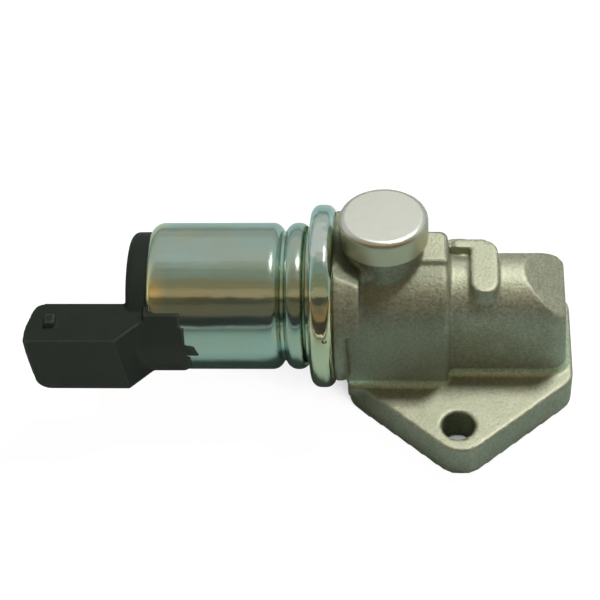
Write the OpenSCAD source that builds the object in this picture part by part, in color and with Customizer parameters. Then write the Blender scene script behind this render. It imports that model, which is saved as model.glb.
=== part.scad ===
// Idle air control valve: a die-cast air body on a two-bolt flange, and a solenoid crimped to its neck.
// The mounting face lies on Z = 0 with the origin midway between the two bolt holes.
// The valve's axis runs along X above it: the solenoid and its connector lie towards -X.

/* [Mounting flange] */
// Thickness of the flange
flange_t = 9; // [6:0.5:13]
// Half width of the flange along the valve axis
flange_half_x = 24.3; // [22:0.1:30]
// Half length of the flange's straight sides
flange_side_y = 10.9; // [8:0.1:13]
// Radius of the flange's side corners
flange_corner_r = 5; // [1:0.5:7]
// Distance that the outline lies ahead of the bolt holes, towards the nose
flange_shift = 0.6; // [0:0.1:1.5]
// Distance between the two bolt holes
bolt_pitch = 46; // [42:0.5:56]
// Diameter of a bolt hole
bolt_hole_d = 7; // [5:0.1:9]
// Metal left around a bolt hole at the flange's tip
bolt_land = 3.1; // [2:0.1:5]

/* [Cast air body] */
// Height of the valve axis above the mounting face
axis_h = 24.2; // [22:0.2:30]
// Outer radius of the valve chamber
chamber_r = 12.4; // [11:0.1:14]
// Outer radius of the narrower nose
nose_r = 9.15; // [8:0.05:10.5]
// Place along the axis of the step between chamber and nose
step_x = -2; // [-4:0.1:0]
// Length of the chamber from the neck disc to the step
chamber_len = 18.6; // [16:0.2:22]
// Length of the nose from the step to its end
nose_len = 25.5; // [22:0.5:30]
// Radius of the rounded step
step_fillet = 1.2; // [0.4:0.1:2]
// Radius of the nose's end corners
nose_corner_r = 3.8; // [1:0.2:4.6]
// Lean of the nose's end face, in degrees
nose_draft = 3; // [0:0.5:6]
// Length of the slanting facet along the axis
facet_len = 9.8; // [6:0.2:13]
// Slope of the facet, in degrees
facet_slope = 38; // [20:1:50]
// Radius of the fillet where the body meets the flange
foot_fillet = 1.4; // [0.6:0.1:2.4]

/* [Neck and crimp] */
// Outer radius of the neck disc
neck_r = 18.2; // [17.4:0.1:19.4]
// Thickness of the neck disc
neck_t = 5.3; // [4.6:0.1:7]
// Outer radius of the raised band beside the disc
band_r = 18.1; // [16.4:0.1:18.1]
// Length of the raised band along the axis
band_len = 2.7; // [1.5:0.1:4]
// Half angle of the raised band about the top, in degrees
band_angle = 68; // [50:1:80]
// Thickness of the crimp ring's wall
ring_wall = 1.4; // [1:0.1:2]
// Outer rounding of the crimp ring
ring_round = 2.1; // [1:0.1:2.3]
// Depth of the groove that the ring's lip is rolled into
lip_depth = 1.3; // [0.8:0.1:1.6]
// Diameter of the stake mark in the crimp ring
stake_d = 1.1; // [0.6:0.1:1.6]

/* [Cast pads] */
// Width of the upright rounded boss on the nose
pill_w = 5.8; // [4:0.2:7]
// Length of the upright rounded boss
pill_len = 14.3; // [12:0.2:16]
// Distance of that boss's middle from the step
pill_from_step = 7.4; // [6.6:0.2:9]
// Height of that boss's top above the valve axis
pill_h = 10; // [9.6:0.1:12]
// Width of the small rib beside the boss
rib_w = 2.5; // [1.5:0.1:3.5]
// Length of the pad on the chamber
pad_len = 5.9; // [4:0.1:7]
// Width of the pad on the chamber
pad_w = 8.4; // [6:0.2:10]
// Distance of the pad's middle behind the valve axis
pad_back = 2.75; // [1:0.25:4]
// Height of the pad's top above the valve axis
pad_h = 13.2; // [12.9:0.1:15]

/* [Air passages] */
// Diameter of the two air ports in the mounting face
port_d = 13; // [10:0.5:14]
// Radius of the chamber bore
chamber_bore_r = 9.4; // [8.5:0.1:10.2]
// Radius of the nose bore
nose_bore_r = 5.8; // [5.2:0.1:6.4]
// Thickness of the wall that holds the valve seat
seat_wall = 2; // [1.5:0.1:3]
// Radius of the valve seat's hole
seat_r = 5; // [4.4:0.1:5.2]

/* [Vent cap] */
// Distance of the vent boss from the step
vent_from_step = 13.6; // [12:0.2:15]
// Backward tilt of the vent boss, in degrees
vent_tilt = 7.9; // [0:0.1:12]
// Outer radius of the pressed cap
cap_r = 9.3; // [8.6:0.1:9.8]
// Height of the cap's top above the valve axis
cap_top = 22.7; // [21:0.1:26]
// Height of the cap's skirt
cap_skirt = 5.9; // [5:0.1:7]
// Sheet thickness of the cap
cap_sheet = 0.8; // [0.5:0.1:1.2]
// Outer rounding of the cap's edge
cap_round = 1.4; // [0.9:0.1:2]
// Radius of the vent boss below the cap
vent_boss_r = 7.6; // [7:0.1:8.2]
// Radius of the vent passage
vent_hole_r = 2.4; // [1.5:0.1:3.5]
// Thickness of the foam under the cap
foam_t = 2.6; // [1.5:0.1:3]
// Lean of the flat cut beside the cap, in degrees
relief_lean = 15; // [0:1:18]

/* [Solenoid can] */
// Outer radius of the can
can_r = 15.75; // [15:0.05:16.2]
// Length of the can's straight barrel with its rounded ends
barrel_len = 28.7; // [26:0.1:36]
// Width of the bead between the barrel and the crimp
bead_w = 5.4; // [4.6:0.1:6.4]
// Outer radius at the bottom of the rolled groove
groove_r = 13.9; // [13.5:0.1:14.4]
// Sheet thickness of the can
sheet_t = 1.2; // [0.8:0.1:1.4]
// Rounding of the can's rear shoulder
can_rear_round = 3; // [2.4:0.1:3.6]
// Rounding of the groove's shoulders
groove_round = 2.6; // [2:0.1:2.6]
// Height of the notch for the connector's saddle
notch_h = 19.1; // [17:0.1:21]
// Length of the notch from the can's rear end
notch_len = 7.55; // [6:0.05:9]
// Depth of each of the two steps in the notch's end
notch_step = 0.85; // [0.4:0.05:1.2]
// Length of the small key beyond the notch
key_len = 3.6; // [2.8:0.1:5]
// Width of that key
key_w = 2.6; // [1.6:0.1:3.6]

/* [Connector] */
// Radius of the moulded rear disc
disc_r = 13.8; // [12.6:0.1:14]
// Distance that the disc stands out of the can
disc_out = 4.1; // [3:0.1:6]
// Width of the connector shroud
shroud_w = 16.6; // [14.4:0.2:19]
// Thickness of the connector shroud
shroud_t = 10.1; // [9:0.1:12]
// Distance of the shroud's front face from the valve axis
shroud_front = 18.9; // [18.2:0.1:20.4]
// Length of the shroud from the can's rear end to its mouth
shroud_len = 24.9; // [21:0.1:32]
// Rear corner radius of the shroud's mouth
mouth_r = 3; // [1:0.2:4]
// Foot corner radius of the shroud's mouth
mouth_foot_r = 3.2; // [1:0.2:4]
// Distance that the mouth falls back towards its rear
mouth_back = 1.9; // [0:0.1:2.5]
// Distance that the mouth falls back towards its foot
mouth_rake = 1.1; // [0:0.1:2.5]
// Distance of the bevel's start behind the can's rear end
bevel_start = 5.5; // [4.6:0.1:8]
// Lean of the bevel, in degrees
bevel_lean = 3.3; // [0:0.1:6]
// Height of the latch block on the shroud
latch_h = 1.5; // [0.6:0.1:2]
// Length of the latch block along the valve axis
latch_len = 2.1; // [1.6:0.1:4]
// Width of the latch block
latch_w = 2.5; // [1.6:0.1:5]
// Distance of the latch block behind the mouth
latch_back = 4.5; // [4:0.1:8]
// Wall of the shroud
shroud_wall = 1.4; // [1:0.1:1.8]
// Depth of the socket
socket_depth = 15.5; // [12:0.5:18]
// Outer radius of the saddle that lies in the can's notch
saddle_r = 16.1; // [15.8:0.05:16.8]
// Width of a terminal blade
blade_w = 2.8; // [1.5:0.1:3]
// Thickness of a terminal blade
blade_t = 0.8; // [0.5:0.05:1]
// Spacing of the two blades
blade_pitch = 5.4; // [4.4:0.1:6]
// Distance of a blade's tip behind the mouth
blade_setback = 4; // [2:0.5:6]

/* [Magnet and coil] */
// Radius of the guide tube's bore
tube_bore_r = 5.2; // [4.6:0.1:5.6]
// Wall of the guide tube
tube_wall = 0.8; // [0.5:0.1:1]
// Thickness of the front pole plate
pole_plate_t = 3; // [3:0.1:3.6]
// Thickness of the rear pole plate
rear_plate_t = 1.5; // [1:0.1:2]
// Thickness of the bobbin's plastic
bobbin_wall = 1.1; // [0.8:0.1:1.4]
// Space left between the winding and the can
coil_clear = 1.1; // [0.8:0.1:1.6]
// Length of the armature
armature_len = 13.5; // [11:0.5:16]
// Distance that the plunger travels
stroke = 4; // [3:0.1:5]
// Air gap left when the plunger is pulled in
end_gap = 0.4; // [0.2:0.05:0.8]

/* [Valve train] */
// Radius of the valve shaft
shaft_r = 1.5; // [1.2:0.05:1.8]
// Radius of the two bearing bushes
bush_r = 2.6; // [2.3:0.05:3]
// Length of the front bush
bush_len = 7; // [5:0.5:8]
// Radius of the valve head
head_r = 6.9; // [6.4:0.1:7.4]
// Thickness of the valve head
head_t = 2.2; // [1.6:0.1:3]
// Wire diameter of the return spring
wire_d = 0.9; // [0.6:0.05:1]
// Turns of the return spring
spring_turns = 6.5; // [5:0.5:8]

/* [Hidden] */
$fn = 96;
big = 200;
bite = 0.5;
slip = 0.05;
seat_gap = 0.05;
run_clear = 0.03;
step_wall = 1.9;
bore_land = 1;
edge_r = 0.4;
roll_gap = 0.1;
groove_gap = 0.3;
rolling_room = 1;
plate_r = 13;
seal_depth = 1.6;
seal_r = (plate_r + neck_r - lip_depth)/2 + 0.2;

// Stations along the valve axis, from the nose towards the connector
nose_end = step_x + nose_len;
web_mid = step_x - step_wall;
seat_x = web_mid - seat_wall/2;
neck_x = step_x - chamber_len;
disc_face_x = neck_x - band_len;
mate_x = disc_face_x - neck_t;
flange_x = mate_x - sheet_t;
ring_x0 = flange_x - ring_wall;
lip_x = mate_x + sheet_t;
ring_x1 = lip_x + ring_wall;
bead_x1 = ring_x0 - roll_gap;
bead_x0 = bead_x1 - bead_w;
barrel_x1 = bead_x0 - groove_gap;
barrel_x0 = barrel_x1 - barrel_len;
ring_r = neck_r + ring_wall;
disc_corner = 1.5;
stake_turn = 68;
stake_depth = 0.6;

// Inside of the can
can_in_r = can_r - sheet_t;
rear_hole_r = disc_r + slip;
plate_x1 = barrel_x1 - sheet_t;
plate_x0 = plate_x1 - pole_plate_t;
rear_plate_x0 = barrel_x0 + can_rear_round + edge_r;
rear_plate_x1 = rear_plate_x0 + rear_plate_t;
insert_r = can_in_r - slip;
tube_r = tube_bore_r + tube_wall;
winding_r0 = tube_r + slip + bobbin_wall;
winding_r1 = can_in_r - coil_clear;

// Bearing plate, shaft and valve head at rest, with the valve closed
plate_t = 3;
plate_seat_x = mate_x + plate_t;
hub_wall = 1.9;
hub_r = bush_r + hub_wall;
hub_x1 = plate_seat_x + bush_len - 2;
bush_x0 = hub_x1 - bush_len;
head_x1 = seat_x - seat_gap;
head_x0 = head_x1 - head_t;
head_hub_len = 2.4;
head_hub_wall = 1.7;
clip_t = 0.8;
clip_groove = 0.4;
clip_wall = 1.3;
shaft_end_x = head_x1 + 2*clip_t;
armature_x1 = bead_x1 - 2;
armature_x0 = armature_x1 - armature_len;
core_x1 = armature_x0 - stroke - end_gap;
core_tail = 4.2;
core_x0 = rear_plate_x0 - core_tail;
core_bore_x = core_x0 + 2;
rear_bush_len = 4;
shaft_x0 = core_x1 - rear_bush_len;

// Vent stack, measured from the valve axis along the tilted vent axis
vent_x = step_x - vent_from_step;
boss_top = cap_top - cap_sheet - foam_t - 2*slip;
boss_land = 1.8;
relief_h = cap_top - cap_skirt - 3.2;
web_inset = 0.4;
cap_in_r = cap_r - cap_sheet;
foam_margin = 0.6;

// Connector stations, with the saddle's notch in the can
shroud_back = shroud_front - shroud_t;
shroud_mid = shroud_front - shroud_t/2;
mouth_x = barrel_x0 - shroud_len;
notch_x = barrel_x0 + notch_len;
bevel_x = barrel_x0 - bevel_start;
bevel_angle = 45;
notch_inner_y = 8;
step_z = [6.8, -1.2];
key_z = 0.9;
saddle_round = 0.6;
arm_lap = 1.2;
key_taper = 0.9;
foot_cut = [2.2, 4.5];

// Return spring between the bearing plate and the valve head, with closed end coils
spring_r = hub_r + edge_r + wire_d/2;
spring_x0 = plate_seat_x + wire_d/2;
spring_x1 = head_x0 - wire_d/2;
spring_span = spring_x1 - spring_x0;
coil_steps = 20;
wire_sides = 8;

// Unit vector from one plan point to another
function toward(a, b) = (b - a)/norm(b - a);
// Half angle between the two edges that meet at corner i
function half_angle(p, i) = let (n = len(p), u = toward(p[i], p[(i + n - 1)%n]),
    w = toward(p[i], p[(i + 1)%n]))
    acos(max(-1, min(1, u*w)))/2;
// Centre of the corner's arc
function arc_centre(p, r, i) = let (n = len(p), u = toward(p[i], p[(i + n - 1)%n]),
    w = toward(p[i], p[(i + 1)%n]))
    p[i] + (u + w)/norm(u + w)*r[i]/sin(half_angle(p, i));
// The two points where the corner's arc meets its edges
function arc_ends(p, r, i) = let (n = len(p), u = toward(p[i], p[(i + n - 1)%n]),
    w = toward(p[i], p[(i + 1)%n]), t = r[i]/tan(half_angle(p, i)))
    r[i] > 0 ? [p[i] + u*t, p[i] + w*t] : [p[i]];

// Convex outline with a radius at each corner
module rounded(p, r) {
    polygon([for (i = [0:len(p) - 1]) for (q = arc_ends(p, r, i)) q]);
    for (i = [0:len(p) - 1])
        if (r[i] > 0) translate(arc_centre(p, r, i)) circle(r[i]);
}

// Half section of a turned piece from x0 to x1, with its outer corners rounded
module turned(x0, x1, r, c0 = 0, c1 = 0) {
    rounded([[0, x0], [r, x0], [r, x1], [0, x1]], [0, c0, c1, 0]);
}

// Turned section placed on the valve axis, with its height along +X
module on_axis(x = 0) {
    translate([x, 0, axis_h]) rotate([0, 90, 0]) children();
}

// Plain round bar or bore on the valve axis
module bar(x0, x1, r) {
    on_axis(x0) cylinder(h = x1 - x0, r = r);
}

// Section in Y and Z drawn out along X
module along_x(x0, x1) {
    translate([x0, 0, 0]) rotate([90, 0, 90]) linear_extrude(x1 - x0) children();
}

// Profile in X and Z drawn out along Y
module along_y(y0, y1) {
    translate([0, y1, 0]) rotate([90, 0, 0]) linear_extrude(y1 - y0) children();
}

// Frame of the tilted vent boss, with Z along it from the valve axis
module on_vent() {
    translate([vent_x, 0, axis_h]) rotate([-vent_tilt, 0, 0]) children();
}

// Outline of the flange: a tip around each bolt hole and two straight sides
module flange_outline() {
    tip_r = bolt_hole_d/2 + bolt_land;
    rise = bolt_pitch/2 - flange_side_y;
    slant = atan2(rise, flange_half_x) + asin(tip_r/norm([flange_half_x, rise]));
    tip_y = bolt_pitch/2 + tip_r/cos(slant);
    translate([flange_shift, 0]) rounded([[flange_half_x, -flange_side_y], [flange_half_x, flange_side_y], [0, tip_y],
             [-flange_half_x, flange_side_y], [-flange_half_x, -flange_side_y], [0, -tip_y]],
            [flange_corner_r, flange_corner_r, tip_r, flange_corner_r, flange_corner_r, tip_r]);
}

// Flange plate, relieved round the crimp ring where a wide flange would reach it
module flange() {
    difference() {
        linear_extrude(flange_t) flange_outline();
        bar(-big, ring_x1 + rolling_room, ring_r + rolling_room);
    }
}

// Plan of the chamber and of the nose, each mirrored about the valve axis
module chamber_plan() {
    rounded([[disc_face_x - bite, -chamber_r], [step_x, -chamber_r], [step_x, chamber_r],
             [disc_face_x - bite, chamber_r]], [0, step_fillet, step_fillet, 0]);
}
module nose_plan() {
    rounded([[web_mid, -nose_r], [nose_end, -nose_r], [nose_end, nose_r], [web_mid, nose_r]],
            [0, nose_corner_r, nose_corner_r, 0]);
}

// Half-round top of a plan outline, with upright walls below it down to the flange
module arched() {
    translate([0, 0, axis_h]) rotate([0, 90, 0]) rotate([0, 0, 90])
        rotate_extrude(angle = 180) intersection() {
            rotate(90) mirror([0, 1]) children();
            translate([0, -big/2]) square([big, big]);
        }
    translate([0, 0, flange_t/2]) linear_extrude(axis_h - flange_t/2) children();
}

// Side view of what the leaning end leaves of the nose
module nose_side() {
    lean = tan(nose_draft);
    polygon([[-big, 0], [nose_end + flange_t*lean, 0], [nose_end - (big - flange_t)*lean, big], [-big, big]]);
}

// Part removed above the slanting facet
module above_facet() {
    facet_x = nose_end - facet_len;
    fall = tan(facet_slope);
    polygon([[facet_x - bite/fall, axis_h + nose_r + bite], [nose_end + facet_len, axis_h + nose_r + bite],
             [nose_end + facet_len, axis_h + nose_r - 2*facet_len*fall]]);
}

// Section of a foot fillet: a square in the corner less a slightly larger arc
module fillet_section() {
    difference() {
        translate([-bite, -bite]) square(foot_fillet + bite);
        translate([foot_fillet, foot_fillet]) circle(foot_fillet*1.02);
    }
}

// Foot fillet along a wall that faces -Y or +Y
module foot(x0, x1, wall_y) {
    for (s = [0, 1]) mirror([0, s, 0])
        translate([x1, -wall_y, flange_t]) rotate([90, 0, -90]) linear_extrude(x1 - x0) fillet_section();
}

// Foot fillet round the nose's end and its two corners
module nose_foot() {
    for (s = [-1, 1])
        translate([nose_end - nose_corner_r, s*(nose_r - nose_corner_r), flange_t])
            rotate([0, 0, s > 0 ? 0 : -90]) rotate_extrude(angle = 90)
                translate([nose_corner_r, 0]) fillet_section();
    translate([nose_end, -nose_r + nose_corner_r, flange_t]) rotate([90, 0, 0])
        mirror([0, 0, 1]) linear_extrude(2*(nose_r - nose_corner_r)) fillet_section();
}

module valve_body() {
    color([0.68, 0.68, 0.62]) difference() {
        union() {
            flange();
            arched() chamber_plan();
            intersection() {
                arched() nose_plan();
                along_y(-big/2, big/2) nose_side();
            }
            foot(disc_face_x, step_x - step_fillet, chamber_r);
            foot(step_x - step_fillet, nose_end - nose_corner_r, nose_r);
            nose_foot();
            neck();
            vent_boss();
            cast_pads();
        }
        along_y(-big/2, big/2) above_facet();
        air_ways();
        for (s = [-1, 1])
            translate([0, s*bolt_pitch/2, -bite]) cylinder(h = flange_t + 2*bite, d = bolt_hole_d);
    }
}

// Neck disc with the rolled lip's groove, and the raised band cut back below the cap
module neck() {
    difference() {
        union() {
            on_axis() rotate_extrude() difference() {
                turned(mate_x, disc_face_x, neck_r, 0, disc_corner);
                translate([neck_r - lip_depth, lip_x]) square([big, ring_wall]);
            }
            on_axis() rotate([0, 0, 180 - band_angle]) rotate_extrude(angle = 2*band_angle)
                turned(disc_face_x - disc_corner, neck_x, band_r);
        }
        on_vent() intersection() {
            translate([neck_x - vent_x, -big/2, relief_h]) rotate([0, relief_lean, 0])
                translate([-big/2, 0, 0]) cube(big);
            translate([ring_x1 - vent_x, -big/2, 0]) cube(big);
        }
    }
}

// Tilted boss that carries the cap, with a land for the cap's press fit and a web to the neck
module vent_boss() {
    web_x = neck_x - vent_x - bite;
    web_y = vent_boss_r - web_inset;
    on_vent() {
        translate([web_x, -web_y, 0]) cube([-2*web_inset - web_x, 2*web_y, relief_h - web_inset]);
        cylinder(h = boss_top - boss_land, r = vent_boss_r);
        translate([0, 0, boss_top - boss_land]) cylinder(h = boss_land, r = cap_in_r - slip);
    }
}

// Upright pads left by the mould: the long boss, the rib beside it and the pad on the chamber
module cast_pads() {
    pill_x = step_x + pill_from_step;
    rib_x = step_x + 0.6;
    rib_y = pill_len/2 + 0.45 - rib_w;
    pad_x = step_x - 0.2;
    translate([0, 0, axis_h]) {
        linear_extrude(pill_h) rounded(
            [[pill_x - pill_w/2, -pill_len/2], [pill_x + pill_w/2, -pill_len/2],
             [pill_x + pill_w/2, pill_len/2], [pill_x - pill_w/2, pill_len/2]], [for (i = [1:4]) pill_w*0.49]);
        linear_extrude(pill_h) rounded(
            [[rib_x, rib_y], [pill_x, rib_y], [pill_x, rib_y + rib_w], [rib_x, rib_y + rib_w]],
            [rib_w*0.45, 0, 0, rib_w*0.45]);
        linear_extrude(pad_h) rounded(
            [[pad_x - pad_len, pad_back - pad_w/2], [pad_x, pad_back - pad_w/2],
             [pad_x, pad_back + pad_w/2], [pad_x - pad_len, pad_back + pad_w/2]], [0, edge_r, 4*edge_r, 0]);
    }
}

// Bores, ports, seat, seal groove and vent passage
module air_ways() {
    port_r = port_d/2;
    chamber_port_x = (plate_seat_x + seat_x + 3*bore_land)/2;
    nose_port_x = web_mid + seat_wall/2 + bore_land + port_r;
    bar(mate_x - bite, plate_seat_x, plate_r + slip);
    bar(mate_x, seat_x, chamber_bore_r);
    bar(seat_x - bite, seat_x + seat_wall + bite, seat_r);
    bar(seat_x + seat_wall, nose_port_x + port_r - edge_r, nose_bore_r);
    for (x = [chamber_port_x, nose_port_x])
        translate([x, 0, -bite]) cylinder(h = axis_h - 2*bore_land + bite, r = port_r);
    on_axis(mate_x - bite) difference() {
        cylinder(h = seal_depth + bite, r = seal_r + 1);
        cylinder(h = seal_depth + bite, r = seal_r - 1);
    }
    on_vent() cylinder(h = boss_top + bite, r = vent_hole_r);
}

module vent_cap() {
    color([0.80, 0.80, 0.77]) on_vent() rotate_extrude() difference() {
        turned(cap_top - cap_skirt, cap_top, cap_r, 0, cap_round);
        turned(cap_top - cap_skirt - bite, cap_top - cap_sheet, cap_in_r, 0, cap_round - cap_sheet);
    }
}

module vent_filter() {
    color([0.25, 0.25, 0.24]) on_vent() translate([0, 0, boss_top]) difference() {
        cylinder(h = foam_t, r = cap_in_r - foam_margin);
        translate([0, 0, -bite]) cylinder(h = foam_t/2 + bite, r = vent_hole_r + edge_r);
    }
}

// Rolled ring that clamps the can's flange to the neck disc
module crimp_ring() {
    color([0.72, 0.74, 0.70]) difference() {
        on_axis() rotate_extrude() difference() {
            turned(ring_x0, ring_x1, ring_r, ring_round, ring_round);
            turned(ring_x0 - bite, ring_x1 + bite, neck_r - lip_depth + slip);
            turned(flange_x, lip_x, neck_r + slip);
        }
        translate([ring_x1 - 1.7, 0, axis_h]) rotate([stake_turn, 0, 0])
            translate([0, 0, ring_r - stake_depth]) cylinder(h = 2*stake_depth, d = stake_d);
    }
}

// Outer and inner half sections of the drawn can
module can_skin(t) {
    turned(barrel_x0 + t, barrel_x1 - t, can_r - t, can_rear_round - t, groove_round - t);
    turned(bead_x0 + t, bead_x1 + (t > 0 ? big : 0), can_r - t, groove_round - t, t > 0 ? 0 : groove_round);
    turned(barrel_x1 - groove_round, bead_x0 + groove_round, groove_r - t);
}

module solenoid_can() {
    color([0.66, 0.71, 0.68]) difference() {
        on_axis() rotate_extrude() difference() {
            union() {
                can_skin(0);
                turned(bead_x1 - groove_round, mate_x, can_r - 1);
                turned(flange_x, mate_x, neck_r);
            }
            intersection() {
                can_skin(sheet_t);
                turned(barrel_x0, mate_x + bite, can_r - 1 - sheet_t);
            }
            turned(barrel_x0 + sheet_t, barrel_x1, 1);
            intersection() {
                can_skin(sheet_t);
                turned(barrel_x0, bead_x1 - sheet_t, can_r);
            }
            turned(barrel_x0 - bite, barrel_x0 + can_rear_round, rear_hole_r);
        }
        can_notch(slip);
    }
}

// Side view of the notch in the can's rear edge: its end has two steps, a tapered key and a cut foot, and g widens it
module notch_outline(g) {
    x1 = notch_x + g;
    x2 = x1 + notch_step;
    x3 = x2 + notch_step;
    x4 = x1 + key_len;
    key_top = key_z + key_w/2 + g;
    key_foot = key_z - key_w/2 - g;
    translate([0, axis_h])
        polygon([[barrel_x0 - g, -notch_h/2 - g], [x3 - foot_cut[0], -notch_h/2 - g],
                 [x3, foot_cut[1] - notch_h/2 - g], [x3, step_z[1] + g], [x2, step_z[1] + g], [x2, key_foot],
                 [x4, key_foot], [x4 - key_taper, key_top], [x2, key_top + key_taper/2],
                 [x2, step_z[0] + g], [x1, step_z[0] + g], [x1, notch_h/2 + g], [barrel_x0 - g, notch_h/2 + g]]);
}

module can_notch(g) {
    along_y(-big/2, -notch_inner_y) notch_outline(g);
}

module connector_housing() {
    color([0.17, 0.18, 0.17]) difference() {
        union() {
            on_axis() rotate_extrude() turned(barrel_x0 - disc_out, rear_plate_x0, disc_r, 4*edge_r, 0);
            saddle();
            arm();
            latch_block();
        }
        bar(core_x0, rear_plate_x0 + bite, tube_bore_r + slip);
        translate([mouth_x - bite, -shroud_front + shroud_wall, axis_h - shroud_w/2 + shroud_wall])
            cube([socket_depth + bite, shroud_t - 2*shroud_wall, shroud_w - 2*shroud_wall]);
        for (s = [-1, 1]) blade(s);
    }
}

// Thin shell that lies in the can's notch, thickened behind the rear pole plate
module saddle() {
    intersection() {
        on_axis() rotate_extrude() difference() {
            turned(barrel_x0, notch_x + key_len, saddle_r, saddle_round, edge_r);
            turned(rear_plate_x0, notch_x + key_len + bite, can_in_r);
        }
        can_notch(0);
    }
}

// Arm and shroud: the plan crossed with the side view, with the bevel cut down to the saddle's round
module arm() {
    arm_x1 = barrel_x0 + arm_lap;
    foot_z = axis_h - shroud_w/2;
    difference() {
        intersection() {
            translate([0, 0, foot_z]) linear_extrude(shroud_w)
                rounded([[mouth_x, -shroud_front], [arm_x1, -shroud_front], [arm_x1, -shroud_back],
                         [mouth_x + mouth_back, -shroud_back], [mouth_x, -shroud_mid - 2]],
                        [1, 0, 0, mouth_r, 0]);
            along_y(-big/2, big/2)
                rounded([[mouth_x + mouth_rake, foot_z], [arm_x1, foot_z], [arm_x1, foot_z + shroud_w],
                         [mouth_x, foot_z + shroud_w], [mouth_x, axis_h + shroud_w/4]],
                        [mouth_foot_r, 0, 0, 1, 0]);
        }
        difference() {
            translate([bevel_x, -shroud_front, foot_z + shroud_w]) rotate([0, 0, bevel_angle])
                rotate([-bevel_lean, 0, 0]) translate([-big/2, -big, -big/2]) cube(big);
            bar(mouth_x, arm_x1 + bite, saddle_r);
        }
    }
}

// Small block on the shroud's upper side that holds the plug's latch
module latch_block() {
    translate([mouth_x + latch_back, -shroud_mid - latch_w/2, axis_h + shroud_w/2 - bite])
        cube([latch_len, latch_w, latch_h + bite]);
}

// One terminal blade: above the axis for s = 1, below it for s = -1
module blade(s) {
    translate([mouth_x + blade_setback, -shroud_mid - blade_t/2, axis_h + s*blade_pitch/2 - blade_w/2])
        cube([shroud_len - blade_setback - bite, blade_t, blade_w]);
}
module terminal_upper() {
    color([0.78, 0.70, 0.48]) blade(1);
}
module terminal_lower() {
    color([0.78, 0.70, 0.48]) blade(-1);
}

module bobbin() {
    color([0.86, 0.83, 0.72]) on_axis() rotate_extrude() difference() {
        turned(rear_plate_x1, plate_x0, insert_r - 0.3);
        translate([winding_r0, rear_plate_x1 + bobbin_wall])
            square([big, plate_x0 - rear_plate_x1 - 2*bobbin_wall]);
        turned(rear_plate_x1 - bite, plate_x0 + bite, tube_r + slip);
    }
}

module coil_winding() {
    color([0.72, 0.38, 0.20]) on_axis() rotate_extrude() translate([winding_r0, rear_plate_x1 + bobbin_wall])
        square([winding_r1 - winding_r0, plate_x0 - rear_plate_x1 - 2*bobbin_wall]);
}

// Pole piece inside the guide tube, drilled for the rear bush
module fixed_core() {
    color([0.60, 0.61, 0.62]) on_axis() rotate_extrude() difference() {
        turned(core_x0, core_x1, tube_bore_r, edge_r, 0);
        turned(core_bore_x, core_x1 + bite, bush_r);
    }
}

module rear_pole_plate() {
    color([0.60, 0.61, 0.62]) difference() {
        bar(rear_plate_x0, rear_plate_x1, insert_r);
        bar(rear_plate_x0 - bite, rear_plate_x1 + bite, tube_bore_r + slip);
    }
}

// Plate that the can's rolled groove traps against the bobbin
module front_pole_plate() {
    color([0.60, 0.61, 0.62]) on_axis() rotate_extrude() difference() {
        turned(plate_x0, plate_x1, insert_r, 0, groove_round - sheet_t + slip);
        turned(plate_x0 - bite, plate_x1 + bite, tube_r + slip);
    }
}

module guide_tube() {
    tube_x1 = plate_x1 + bore_land;
    color([0.80, 0.68, 0.38]) difference() {
        bar(rear_plate_x1, tube_x1, tube_r);
        bar(rear_plate_x1 - bite, tube_x1 + bite, tube_bore_r);
    }
}

// Bearing bush of the given radius from x0 to x1
module bush(x0, x1) {
    difference() {
        bar(x0, x1, bush_r);
        bar(x0 - bite, x1 + bite, shaft_r + run_clear);
    }
}
module rear_bush() {
    color([0.66, 0.52, 0.28]) bush(core_x1 - rear_bush_len, core_x1);
}
module front_bush() {
    color([0.66, 0.52, 0.28]) bush(bush_x0, hub_x1);
}

module armature() {
    color([0.55, 0.57, 0.58]) on_axis() rotate_extrude() difference() {
        turned(armature_x0, armature_x1, tube_bore_r - slip, edge_r, edge_r);
        turned(armature_x0 - bite, armature_x1 + bite, shaft_r);
    }
}

// Ground pin that carries the armature and the valve head, grooved for the clip
module valve_shaft() {
    color([0.75, 0.76, 0.78]) on_axis() rotate_extrude() difference() {
        turned(shaft_x0, shaft_end_x, shaft_r, edge_r, edge_r);
        translate([shaft_r - clip_groove, head_x1]) square([1, clip_t]);
    }
}

// Turned plate that closes the chamber and carries the front bush
module bearing_plate() {
    color([0.72, 0.73, 0.72]) on_axis() rotate_extrude() difference() {
        union() {
            turned(mate_x, plate_seat_x, plate_r);
            turned(plate_seat_x - bite, hub_x1, hub_r, 0, edge_r);
        }
        turned(mate_x - bite, hub_x1 + bite, bush_r);
        turned(mate_x - bite, bush_x0, bush_r + edge_r);
    }
}

module body_seal() {
    color([0.10, 0.10, 0.10]) on_axis(mate_x + seal_depth/2) rotate_extrude()
        translate([seal_r, 0]) circle(seal_depth/2 - slip/2);
}

// Valve head that closes on the seat, with a hub pressed on the shaft
module valve_head() {
    color([0.70, 0.72, 0.73]) on_axis() rotate_extrude() difference() {
        union() {
            turned(head_x0, head_x1, head_r, edge_r, 0);
            turned(head_x0 - head_hub_len, head_x0 + bite, shaft_r + head_hub_wall, edge_r, 0);
        }
        turned(head_x0 - head_hub_len - bite, head_x1 + bite, shaft_r);
    }
}

// Snap ring in the shaft's groove, open on one side
module retaining_clip() {
    mouth_w = 2*(shaft_r - clip_groove) - edge_r;
    color([0.35, 0.36, 0.38]) difference() {
        bar(head_x1, head_x1 + clip_t, shaft_r + clip_wall);
        bar(head_x1 - bite, head_x1 + clip_t + bite, shaft_r - clip_groove);
        translate([head_x1 - bite, 0, axis_h - mouth_w/2]) cube([clip_t + 2*bite, big, mouth_w]);
    }
}

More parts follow.
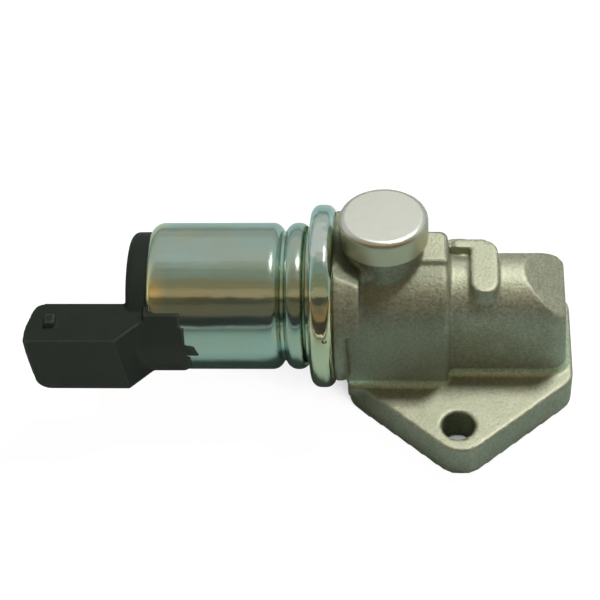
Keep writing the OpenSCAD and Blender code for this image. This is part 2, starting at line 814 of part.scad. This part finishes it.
// Share of the spring's length climbed at t of its turns: one closed coil lies at each end
function climb(t) = let (e = 1/spring_turns, c = wire_d/spring_span)
    t < e ? t*c/e : t > 1 - e ? 1 - (1 - t)*c/e : c + (t - e)/(1 - 2*e)*(1 - 2*c);
// Ring of points round the wire at step i of n
function wire_ring(i, n) = let (t = i/n, a = 360*spring_turns*t)
    [for (k = [0:wire_sides - 1]) let (b = 360*k/wire_sides, r = spring_r + wire_d/2*cos(b))
        [r*cos(a), r*sin(a), spring_x0 + climb(t)*spring_span + wire_d/2*sin(b)]];

module return_spring() {
    n = ceil(coil_steps*spring_turns);
    m = wire_sides;
    points = [for (i = [0:n]) each wire_ring(i, n)];
    sides = [for (i = [0:n - 1]) for (k = [0:m - 1])
        [i*m + k, (i + 1)*m + k, (i + 1)*m + (k + 1)%m, i*m + (k + 1)%m]];
    caps = [[for (k = [0:m - 1]) k], [for (k = [0:m - 1]) n*m + m - 1 - k]];
    color([0.62, 0.64, 0.66]) on_axis() polyhedron(points, concat(sides, caps));
}

valve_body();
vent_cap();
vent_filter();
crimp_ring();
solenoid_can();
connector_housing();
terminal_upper();
terminal_lower();
bobbin();
coil_winding();
fixed_core();
rear_pole_plate();
front_pole_plate();
guide_tube();
rear_bush();
armature();
valve_shaft();
front_bush();
bearing_plate();
body_seal();
return_spring();
valve_head();
retaining_clip();
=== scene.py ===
import bpy
import math
from mathutils import Matrix, Vector


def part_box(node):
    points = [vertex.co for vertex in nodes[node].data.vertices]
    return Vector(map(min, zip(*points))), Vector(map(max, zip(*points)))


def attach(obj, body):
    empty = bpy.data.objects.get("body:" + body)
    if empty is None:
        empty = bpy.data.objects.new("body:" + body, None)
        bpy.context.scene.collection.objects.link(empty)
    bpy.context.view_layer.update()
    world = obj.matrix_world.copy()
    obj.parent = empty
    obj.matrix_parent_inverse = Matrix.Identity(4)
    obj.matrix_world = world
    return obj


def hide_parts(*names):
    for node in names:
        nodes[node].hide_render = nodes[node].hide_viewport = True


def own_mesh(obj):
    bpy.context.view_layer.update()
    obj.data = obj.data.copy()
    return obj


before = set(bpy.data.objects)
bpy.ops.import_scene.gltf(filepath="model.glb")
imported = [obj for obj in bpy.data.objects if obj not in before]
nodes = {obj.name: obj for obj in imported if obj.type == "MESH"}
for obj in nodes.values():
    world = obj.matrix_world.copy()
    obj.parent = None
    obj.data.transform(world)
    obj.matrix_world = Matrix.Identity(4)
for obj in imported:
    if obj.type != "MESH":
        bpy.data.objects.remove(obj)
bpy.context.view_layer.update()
scene = bpy.context.scene
scene.view_settings.view_transform = "Standard"


# Camera
# The camera looks down on the valve's long side from about 51 degrees, through a long lens. The
# valve's axis lies level across the picture, with the solenoid on the left.
eye = Vector((-0.00630, -0.25019, 0.33339))
elevation = math.radians(51.15)
sensor_width = 36
lens_trim = 1.0036
# These are in picture columns. At the square column the view is square to the valve's axis.
picture_width = 600
middle_column = 300
square_column = 428
focal_length = 1846.79

ahead = Vector((0, math.cos(elevation), -math.sin(elevation)))
above = Vector((0, math.sin(elevation), math.cos(elevation)))
aim = (ahead + Vector((1, 0, 0)) * (middle_column - square_column) / focal_length).normalized()
aside = aim.cross(above).normalized()
camera_data = bpy.data.cameras.new("camera")
camera_data.sensor_width = sensor_width
camera_data.lens = sensor_width * focal_length * lens_trim / picture_width
camera_data.clip_start = 0.01
camera_data.clip_end = 20
camera = bpy.data.objects.new("camera", camera_data)
scene.collection.objects.link(camera)
turn = Matrix((aside, above, -aim)).transposed()
camera.matrix_world = Matrix.Translation(eye) @ turn.to_4x4()
scene.camera = camera


# Studio room and floor
# A pale floor in a white room. Polished metal sees the floor as a greener one with painted shade close to
# the valve and towards the camera, and the floor's glow has painted shade where it is closed in, as in a
# hole.
room_fill = (0.085, 0.092, 0.075)
white = (1, 1, 1)
floor_half = 6
floor_z = -0.0004
floor_grey = (0.13, 0.13, 0.12)
floor_pale = (0.88, 0.90, 0.86)
mirrored_painted_shade = (0.14, 0.19, 0.18)
mirrored_light = (0.53, 0.66, 0.67)
shade_reach = 0.03


def is_socket(value):
    return isinstance(value, bpy.types.NodeSocket)


def put(tree, kind, sockets=None, **options):
    # A shader node with its options set, and a link or a value on each socket that is named
    node = tree.nodes.new("ShaderNode" + kind)
    for option, value in options.items():
        setattr(node, option, value)
    for socket, value in (sockets or {}).items():
        if is_socket(value):
            tree.links.new(value, node.inputs[socket])
        else:
            node.inputs[socket].default_value = value
    return node


def times(tree, first, second):
    return put(tree, "Math", {0: first, 1: second}, operation="MULTIPLY").outputs[0]


def spread(tree, value, low, high, start=0.3, end=0.7):
    # From low to high as the value goes from start to end
    ends = {"Value": value, "From Min": start, "From Max": end, "To Min": low, "To Max": high}
    return put(tree, "MapRange", ends).outputs["Result"]


def tinted(tree, factor, first, second):
    # From the first colour to the second, each of them a colour or another node's result
    ends = {"Factor": factor}
    for name, colour in (("A", first), ("B", second)):
        ends[name] = colour if is_socket(colour) else (*colour, 1)
    return put(tree, "Mix", ends, data_type="RGBA").outputs["Result"]


def along(tree, axis):
    # The place on the object along one axis, in metres
    place = put(tree, "TexCoord")
    return put(tree, "SeparateXYZ", {"Vector": place.outputs["Object"]}).outputs[axis]


def white_ray(tree):
    # One for the camera's rays, and for those that gloss and glass send on
    path = put(tree, "LightPath")
    total = path.outputs["Is Camera Ray"]
    for ray in ("Is Glossy Ray", "Is Transmission Ray"):
        total = put(tree, "Math", {0: total, 1: path.outputs[ray]}, operation="MAXIMUM").outputs[0]
    return total


room = bpy.data.worlds.new("room")
room.use_nodes = True
scene.world = room
tree = room.node_tree
tree.nodes.clear()
fill = put(tree, "Background", {"Color": (*room_fill, 1)})
seen = put(tree, "Background", {"Color": (*white, 1)})
walls = put(tree, "MixShader", {0: white_ray(tree), 1: fill.outputs[0], 2: seen.outputs[0]})
put(tree, "OutputWorld", {0: walls.outputs[0]})

floor_mesh = bpy.data.meshes.new("floor")
quarters = ((-1, -1), (1, -1), (1, 1), (-1, 1))
floor_corners = [(x * floor_half, y * floor_half, floor_z) for x, y in quarters]
floor_mesh.from_pydata(floor_corners, [], [(0, 1, 2, 3)])
floor = bpy.data.objects.new("floor", floor_mesh)
scene.collection.objects.link(floor)
floor_paint = bpy.data.materials.new("pale_floor")
floor_paint.use_nodes = True
tree = floor_paint.node_tree
tree.nodes.clear()
# Painted shade: where the occlusion node finds the floor closed in, its glow and its mirrored colour go dark
openness = put(tree, "AmbientOcclusion", {"Distance": shade_reach}).outputs["AO"]
matt = put(tree, "BsdfDiffuse", {"Color": (*floor_grey, 1)})
brightness = spread(tree, openness, 0.05, 0.97, start=0.04, end=0.30)
glow = put(tree, "Emission", {"Strength": brightness})
pictured = put(tree, "AddShader", {0: matt.outputs[0], 1: glow.outputs[0]})
# Painted shade in the mirrored floor, darker towards the camera
farther = spread(tree, along(tree, "Y"), 0.40, 1.0, start=-0.45, end=-0.10)
mirrored_tint = tinted(tree, times(tree, openness, farther), mirrored_painted_shade, mirrored_light)
mirrored = put(tree, "BsdfDiffuse", {"Color": mirrored_tint})
plain = put(tree, "BsdfDiffuse", {"Color": (*floor_pale, 1)})
path = put(tree, "LightPath")
glossy_ray = path.outputs["Is Glossy Ray"]
camera_ray = path.outputs["Is Camera Ray"]
unseen = put(tree, "MixShader", {0: glossy_ray, 1: plain.outputs[0], 2: mirrored.outputs[0]})
look = put(tree, "MixShader", {0: camera_ray, 1: unseen.outputs[0], 2: pictured.outputs[0]})
put(tree, "OutputMaterial", {0: look.outputs[0]})
floor_mesh.materials.append(floor_paint)


# Studio lamps and strips
# A soft lamp stands high behind the valve, and a wide one low on the camera's side. Glowing strips of grey
# and warm colour round the valve's axis are painted reflections: only polished surfaces show them, and they
# light nothing.
lamp_target = Vector((-0.02, 0, 0.02))
strip_radius = 0.70
strip_height = 0.024
strip_half = 6
# Where each strip starts and ends, in degrees from straight up towards the camera, and its colour
strips = [
    (-100, -84, (0.36, 0.38, 0.37)),
    (-84, -66, (0.50, 0.52, 0.50)),
    (-66, -16, (0.62, 0.62, 0.62)),
    (-16, -4, (0.48, 0.47, 0.43)),
    (-4, 12, (0.35, 0.36, 0.31)),
    (12, 29, (0.35, 0.285, 0.186)),
    (29, 41, (0.59, 0.42, 0.26)),
    (41, 51, (0.10, 0.087, 0.062)),
    (51, 71, (0.21, 0.167, 0.118)),
    (71, 88, (0.043, 0.05, 0.05))]


def soft_lamp(name, direction, distance, size, power):
    lamp_data = bpy.data.lights.new(name, "AREA")
    lamp_data.shape = "DISK"
    lamp_data.size = size
    lamp_data.energy = power
    lamp = bpy.data.objects.new(name, lamp_data)
    scene.collection.objects.link(lamp)
    way = Vector(direction).normalized()
    lamp.location = lamp_target + way * distance
    lamp.rotation_euler = way.to_track_quat("Z", "Y").to_euler()
    return lamp


def painted_reflection_strip(name, start, end, tint, strength=1.0, reach=(-strip_half, strip_half)):
    # A glowing strip, a painted reflection, that runs along the valve's axis at the same distance from it as
    # the rest
    corners = []
    for angle in (math.radians(start), math.radians(end)):
        y = -strip_radius * math.sin(angle)
        z = strip_height + strip_radius * math.cos(angle)
        corners.extend([(x, y, z) for x in reach])
    strip_mesh = bpy.data.meshes.new(name)
    strip_mesh.from_pydata(corners, [], [(0, 1, 3, 2)])
    strip_glow = bpy.data.materials.new(name)
    strip_glow.use_nodes = True
    strip_glow.node_tree.nodes.clear()
    light = put(strip_glow.node_tree, "Emission", {"Color": (*tint, 1), "Strength": strength})
    put(strip_glow.node_tree, "OutputMaterial", {0: light.outputs[0]})
    strip_mesh.materials.append(strip_glow)
    strip = bpy.data.objects.new(name, strip_mesh)
    scene.collection.objects.link(strip)
    strip.visible_camera = False
    strip.visible_diffuse = False
    strip.visible_shadow = False
    strip.visible_transmission = False


soft_lamp("high_lamp", (0.27, 0.27, 0.93), distance=0.80, size=0.16, power=5.6)
front_lamp = soft_lamp("front_lamp", (-0.10, -0.96, 0.26), distance=2.60, size=1.40, power=17.0)
front_lamp.visible_glossy = False
# Painted reflections: grey and warm bands that only polished metal sees
for number, (start, end, tint) in enumerate(strips):
    painted_reflection_strip("painted_reflection_%d" % number, start, end, tint)
# A painted highlight: a small white card that shows as a glint on the can's end, the bead and the ring
painted_reflection_strip("painted_highlight_card", -39, -36.5, white, strength=14.0, reach=(-0.104, -0.075))


# Cast air body
# One die-cast aluminium piece: flange, valve chamber, nose and the boss of the vent. It is blasted after
# casting, so it is grainy and all its edges are soft. The chamber's slopes have painted shade, and the
# fillet at the foot has a painted reflection.
cast_dark = (0.29, 0.297, 0.222)
cast_light = (0.46, 0.466, 0.358)
cast_patch = (0.90, 0.93, 0.88)
cast_plain = (1.0, 0.99, 0.97)
unshaded = (1, 1, 1)
chamber_painted_shade = (0.80, 0.80, 0.78)
crest_painted_shade = (0.74, 0.76, 0.77)
foot_painted_light = (1.45, 1.68, 1.62)
cast_grain = 1700
cast_grain_depth = 0.00010
cast_cell = 0.00043
# Between which places, in metres, each painted shade or painted reflection fades in or out
step_x = (-0.0030, -0.0015)
chamber_z = (0.0115, 0.0150)
foot_z = (0.0118, 0.0150)
flange_z = (0.0089, 0.0095)


def new_finish(name, colour, metal, rough, gloss=0.5):
    finish = bpy.data.materials.new(name)
    finish.use_nodes = True
    shader = finish.node_tree.nodes["Principled BSDF"]
    shader.inputs["Base Color"].default_value = (*colour, 1)
    shader.inputs["Metallic"].default_value = metal
    shader.inputs["Roughness"].default_value = rough
    shader.inputs["Specular IOR Level"].default_value = gloss
    return finish, finish.node_tree, shader


def cloud(tree, scale, detail=2.0, stretch=(1, 1, 1)):
    # Noise fixed to the object, with low stretch along an axis where it runs on as lines
    place = put(tree, "TexCoord")
    shape = put(tree, "Mapping", {"Vector": place.outputs["Object"], "Scale": stretch})
    noise = {"Vector": shape.outputs["Vector"], "Scale": scale, "Detail": detail}
    return put(tree, "TexNoise", noise).outputs["Fac"]


def mottled(tree, noise, dark, light):
    return tinted(tree, spread(tree, noise, 0, 1), dark, light)


def multiplied(tree, colour, shade):
    sockets = {"Factor": 1, "A": colour, "B": shade}
    return put(tree, "Mix", sockets, data_type="RGBA", blend_type="MULTIPLY").outputs["Result"]


def upward(tree, low, high, start, end):
    # From low to high as the surface turns from standing upright to facing up
    surface = put(tree, "NewGeometry")
    way = put(tree, "SeparateXYZ", {"Vector": surface.outputs["Normal"]})
    return spread(tree, way.outputs["Z"], low, high, start, end)


def painted(tree, shader, colour, rough=None):
    tree.links.new(colour, shader.inputs["Base Color"])
    if rough:
        tree.links.new(rough, shader.inputs["Roughness"])


def roughened(tree, shader, height, depth, strength=1.0):
    bump = put(tree, "Bump", {"Height": height, "Distance": depth, "Strength": strength})
    tree.links.new(bump.outputs["Normal"], shader.inputs["Normal"])


def softened(node, name, cell, passes):
    # A copy of the solid whose edges are rounded by even cells and a few rounds of smoothing
    piece = bpy.data.objects.new(name, nodes[node].data.copy())
    scene.collection.objects.link(piece)
    cells = piece.modifiers.new("cells", "REMESH")
    cells.mode = "VOXEL"
    cells.voxel_size = cell
    cells.use_smooth_shade = True
    ease = piece.modifiers.new("ease", "SMOOTH")
    ease.factor = 0.5
    ease.iterations = passes
    graph = bpy.context.evaluated_depsgraph_get()
    piece.data = bpy.data.meshes.new_from_object(piece.evaluated_get(graph))
    piece.data.name = name
    piece.modifiers.clear()
    piece.data.materials.clear()
    return piece


casting, tree, shader = new_finish("blasted_casting", (0.37, 0.38, 0.30), metal=0.90, rough=0.56, gloss=0.25)
fine = cloud(tree, cast_grain, detail=4.0)
speck = tinted(tree, spread(tree, fine, 0, 1, start=0.32, end=0.68), cast_dark, cast_light)
patch = mottled(tree, cloud(tree, 260), cast_patch, cast_plain)
height = along(tree, "Z")
behind_step = spread(tree, along(tree, "X"), 1, 0, *step_x)
on_chamber = times(tree, behind_step, spread(tree, height, 0, 1, *chamber_z))
# Painted shade: the chamber's sloping faces behind the step are darker, and more so near its crest under the
# vent cap
curved = times(tree, on_chamber, upward(tree, 1, 0, start=0.982, end=0.997))
crest = times(tree, curved, upward(tree, 0, 1, start=0.90, end=0.97))
# Painted reflection: the sloping fillet at the foot of the walls is lighter and greener
at_foot = times(tree, spread(tree, height, 1, 0, *foot_z), spread(tree, height, 0, 1, *flange_z))
sloping = times(tree, upward(tree, 0, 1, start=0.02, end=0.15), upward(tree, 1, 0, start=0.93, end=0.995))
foot = times(tree, at_foot, sloping)
colour = multiplied(tree, speck, patch)
for mask, shade in ((curved, chamber_painted_shade), (crest, crest_painted_shade), (foot, foot_painted_light)):
    colour = multiplied(tree, colour, tinted(tree, mask, unshaded, shade))
painted(tree, shader, colour, spread(tree, fine, 0.50, 0.68))
roughened(tree, shader, fine, depth=cast_grain_depth, strength=0.8)
cast_piece = softened("valve_body", "cast_air_body", cast_cell, passes=2)
cast_piece.data.materials.append(casting)
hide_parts("valve_body")
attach(cast_piece, "housing")


# Vent cap and its foam
# A cap pressed from thin steel and pushed over the tilted boss. Its face is satin, its side has painted
# shade, and its rim is polished by the tool. The foam under it is charcoal grey and open.
cap_side_painted_shade = (0.52, 0.49, 0.34)
cap_dark = (0.675, 0.69, 0.605)
cap_light = (0.695, 0.705, 0.625)
rim_polish = -0.14


def dressed(finish, *names):
    for name in names:
        nodes[name].data.materials.clear()
        nodes[name].data.materials.append(finish)


def plus(tree, first, second):
    return put(tree, "Math", {0: first, 1: second}, operation="ADD").outputs[0]


cap_metal, tree, shader = new_finish("cap_sheet", (0.68, 0.69, 0.60), metal=1.0, rough=0.41)
drawn = cloud(tree, 900, detail=2.0, stretch=(1, 1, 0.2))
face = mottled(tree, drawn, cap_dark, cap_light)
# Painted shade: the cap's side is darker and browner than its face
shaded_cap = tinted(tree, upward(tree, 0, 1, start=0.30, end=0.80), cap_side_painted_shade, face)
above_side = upward(tree, 0, rim_polish, start=0.45, end=0.70)
below_face = upward(tree, 1, 0, start=0.974, end=0.988)
rim = times(tree, above_side, below_face)
painted(tree, shader, shaded_cap, plus(tree, spread(tree, drawn, 0.39, 0.41), rim))
dressed(cap_metal, "vent_cap")

foam, tree, shader = new_finish("filter_foam", (0.05, 0.05, 0.05), metal=0.0, rough=0.95, gloss=0.1)
bubbles = cloud(tree, 2400, detail=4.0)
painted(tree, shader, mottled(tree, bubbles, (0.02, 0.02, 0.02), (0.10, 0.10, 0.10)))
roughened(tree, shader, bubbles, depth=0.0002)
dressed(foam, "vent_filter")


# Crimp ring
# A plated steel ring rolled over the neck disc and the can's flange. Its colour runs by height from olive at
# the foot over gold and teal to pale grey at the top, as painted reflections, and the rolling leaves it
# slightly wavy.
ring_olive = (0.58, 0.62, 0.41)
ring_gold = (0.86, 0.76, 0.46)
ring_teal = (0.42, 0.60, 0.52)
ring_pale = (0.66, 0.75, 0.68)

ring_metal, tree, shader = new_finish("ring_plating", (0.52, 0.56, 0.45), metal=1.0, rough=0.18)
mottle = cloud(tree, 420, detail=3.0)
ring_low, ring_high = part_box("crimp_ring")
# Painted reflections: bands of colour set by height on the ring
share = spread(tree, along(tree, "Z"), 0, 1, ring_low[2], ring_high[2])
strayed = plus(tree, share, spread(tree, cloud(tree, 260, detail=3.0), -0.05, 0.05))
ring_painted_reflection = put(tree, "ValToRGB", {"Fac": strayed})
bands = ring_painted_reflection.color_ramp.elements
bands[0].position = 0.64
bands[0].color = (*ring_olive, 1)
bands[1].position = 0.99
bands[1].color = (*ring_pale, 1)
for position, colour in ((0.74, ring_gold), (0.84, ring_gold), (0.90, ring_teal), (0.95, ring_teal)):
    bands.new(position).color = (*colour, 1)
painted(tree, shader, ring_painted_reflection.outputs["Color"], spread(tree, mottle, 0.07, 0.15))
roughened(tree, shader, mottle, depth=0.00006, strength=0.5)
dressed(ring_metal, "crimp_ring")


# Solenoid can
# A deep-drawn steel can with a groove rolled in near the crimp. It is plated and passivated to a pale green
# with gold patches, has faint draw lines along it, and has a painted gold glint high on the rear rim.
can_green = (0.44, 0.52, 0.40)
can_blue = (0.42, 0.56, 0.50)
can_pale_gold = (0.62, 0.56, 0.33)
can_painted_glint = (0.90, 0.78, 0.36)
rim_reach = (0.0016, 0.0050)
glint_from_z = (0.0330, 0.0365)
glint_to_z = (0.0370, 0.0395)

can_metal, tree, shader = new_finish("can_plating", (0.44, 0.54, 0.43), metal=1.0, rough=0.13)
lines = cloud(tree, 1500, detail=2.0, stretch=(0.04, 1, 1))
film = cloud(tree, 120)
patches = spread(tree, cloud(tree, 90, detail=3.0, stretch=(0.6, 1, 1)), 0, 0.55, start=0.54, end=0.74)
green = mottled(tree, film, can_green, can_blue)
rear_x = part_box("solenoid_can")[0][0]
# Painted highlight: a gold glint on the rear rim, within a band of height
near_rim = spread(tree, along(tree, "X"), 1, 0, rear_x + rim_reach[0], rear_x + rim_reach[1])
height = along(tree, "Z")
glint_band = times(tree, spread(tree, height, 0, 0.8, *glint_from_z), spread(tree, height, 1, 0, *glint_to_z))
patched = tinted(tree, patches, green, can_pale_gold)
glinted = tinted(tree, times(tree, near_rim, glint_band), patched, can_painted_glint)
painted(tree, shader, glinted, spread(tree, lines, 0.10, 0.20))
roughened(tree, shader, film, depth=0.00022, strength=0.6)
dressed(can_metal, "solenoid_can")


# Connector moulding
# The rear disc, the saddle and the plug shroud are one moulding in black glass-filled plastic, shot over the
# can's end. Its edges are soft and carry a painted highlight, its sides are painted lighter than its top,
# and it has a faint grain.
black_dark = (0.021, 0.0255, 0.020)
black_light = (0.025, 0.0295, 0.0245)
black_side_painted_light = (0.033, 0.0385, 0.032)
black_edge_highlight = (0.060, 0.068, 0.058)
moulding_cell = 0.00026

black, tree, shader = new_finish("black_moulding", (0.021, 0.025, 0.020), metal=0.0, rough=0.50, gloss=0.05)
grain = cloud(tree, 3000, detail=3.0)
top = mottled(tree, cloud(tree, 150), black_dark, black_light)
# Painted light: the upright sides are lighter than the top
painted_side_light = tinted(tree, upward(tree, 0, 1, start=0.35, end=0.80), black_side_painted_light, top)
# Painted highlight: sharp edges are lighter
edge = put(tree, "NewGeometry").outputs["Pointiness"]
painted_edge_light = tinted(tree, spread(tree, edge, 0, 0.6, start=0.508, end=0.540), painted_side_light, black_edge_highlight)
painted(tree, shader, painted_edge_light, spread(tree, grain, 0.42, 0.56))
roughened(tree, shader, grain, depth=0.00002, strength=0.5)
moulding = softened("connector_housing", "connector_moulding", moulding_cell, passes=1)
moulding.data.materials.append(black)
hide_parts("connector_housing")
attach(moulding, "housing")


# Terminal blades
# Two stamped brass blades, tinned and slightly dull. They are held in the moulding and stand in
# the plug shroud.
tinned, tree, shader = new_finish("tinned_blade", (0.72, 0.62, 0.36), metal=1.0, rough=0.3)
wipe = cloud(tree, 1400, detail=2.0, stretch=(0.1, 1, 1))
tin = mottled(tree, wipe, (0.66, 0.55, 0.30), (0.76, 0.70, 0.52))
painted(tree, shader, tin, spread(tree, wipe, 0.24, 0.38))
dressed(tinned, "terminal_upper", "terminal_lower")


# Bobbin and coil
# A bobbin moulded in natural plastic, and the enamelled copper wire wound on it, layer on layer.
# Both lie inside the can.
winding_scale = 2500 / math.pi / 2

nylon, tree, shader = new_finish("bobbin_plastic", (0.70, 0.66, 0.52), metal=0.0, rough=0.5, gloss=0.4)
milk = cloud(tree, 300)
painted(tree, shader, mottled(tree, milk, (0.64, 0.60, 0.46), (0.74, 0.71, 0.58)))
dressed(nylon, "bobbin")

copper, tree, shader = new_finish("wound_wire", (0.55, 0.22, 0.08), metal=1.0, rough=0.32)
place = put(tree, "TexCoord")
winding = {"Vector": place.outputs["Object"], "Scale": winding_scale}
layers = put(tree, "TexWave", winding, bands_direction="X").outputs["Fac"]
painted(tree, shader, tinted(tree, layers, (0.30, 0.10, 0.03), (0.62, 0.27, 0.11)))
roughened(tree, shader, layers, depth=0.0001, strength=0.8)
dressed(copper, "coil_winding")


# Magnet iron and armature
# The core, the two pole plates and the armature are turned from soft iron, with fine tool marks.
# They carry the coil's field, and the armature slides in it.
iron, tree, shader = new_finish("turned_iron", (0.50, 0.51, 0.52), metal=1.0, rough=0.36)
marks = cloud(tree, 1800, detail=2.0, stretch=(1, 0.15, 0.15))
turned = mottled(tree, marks, (0.42, 0.43, 0.44), (0.56, 0.57, 0.58))
painted(tree, shader, turned, spread(tree, marks, 0.28, 0.44))
roughened(tree, shader, marks, depth=0.00002, strength=0.5)
dressed(iron, "fixed_core", "rear_pole_plate", "front_pole_plate", "armature")


# Guide tube and bushes
# The tube is drawn brass, and the two bushes are sintered bronze soaked in oil. They guide the
# plunger.
drawn_brass, tree, shader = new_finish("drawn_brass", (0.70, 0.55, 0.28), metal=1.0, rough=0.25)
pull = cloud(tree, 1600, detail=2.0, stretch=(0.05, 1, 1))
painted(tree, shader, mottled(tree, pull, (0.64, 0.48, 0.23), (0.76, 0.62, 0.34)))
dressed(drawn_brass, "guide_tube")

bronze, tree, shader = new_finish("sintered_bronze", (0.50, 0.35, 0.17), metal=1.0, rough=0.5)
pores = cloud(tree, 5000)
painted(tree, shader, mottled(tree, pores, (0.30, 0.20, 0.09), (0.60, 0.43, 0.22)))
roughened(tree, shader, pores, depth=0.00004)
dressed(bronze, "rear_bush", "front_bush")


ground, tree, shader = new_finish("ground_steel", (0.68, 0.69, 0.71), metal=1.0, rough=0.16)
polish = cloud(tree, 2500, detail=2.0, stretch=(1, 0.1, 0.1))
pin = mottled(tree, polish, (0.62, 0.63, 0.65), (0.72, 0.73, 0.75))
painted(tree, shader, pin, spread(tree, polish, 0.12, 0.22))
dressed(ground, "valve_shaft")

wire, tree, shader = new_finish("spring_wire", (0.48, 0.49, 0.50), metal=1.0, rough=0.28)
rub = cloud(tree, 1200)
bright = mottled(tree, rub, (0.40, 0.41, 0.42), (0.56, 0.57, 0.58))
painted(tree, shader, bright, spread(tree, rub, 0.20, 0.36))
dressed(wire, "retaining_clip")

closing_spring = bpy.data.objects.new("closing_spring", nodes["return_spring"].data.copy())
scene.collection.objects.link(closing_spring)
closing_spring.data.materials.clear()
closing_spring.data.materials.append(wire)
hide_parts("return_spring")
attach(closing_spring, "housing")
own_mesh(closing_spring)


# Valve head and bearing plate
# Both are turned aluminium, with rings left by the tool. The head closes the seat, and the plate
# closes the chamber and carries the front bush.
lathe, tree, shader = new_finish("turned_aluminium", (0.66, 0.67, 0.68), metal=1.0, rough=0.3)
rings = cloud(tree, 900, detail=2.0, stretch=(1, 0.3, 0.3))
cut = mottled(tree, rings, (0.60, 0.61, 0.62), (0.72, 0.73, 0.74))
painted(tree, shader, cut, spread(tree, rings, 0.24, 0.38))
dressed(lathe, "valve_head", "bearing_plate")


# Body seal
# A black rubber ring in the groove of the neck disc. It seals the can against the cast body and
# has a faint bloom.
rubber, tree, shader = new_finish("seal_rubber", (0.02, 0.02, 0.02), metal=0.0, rough=0.6, gloss=0.4)
bloom = cloud(tree, 700)
painted(tree, shader, mottled(tree, bloom, (0.015, 0.015, 0.015), (0.035, 0.035, 0.035)))
dressed(rubber, "body_seal")
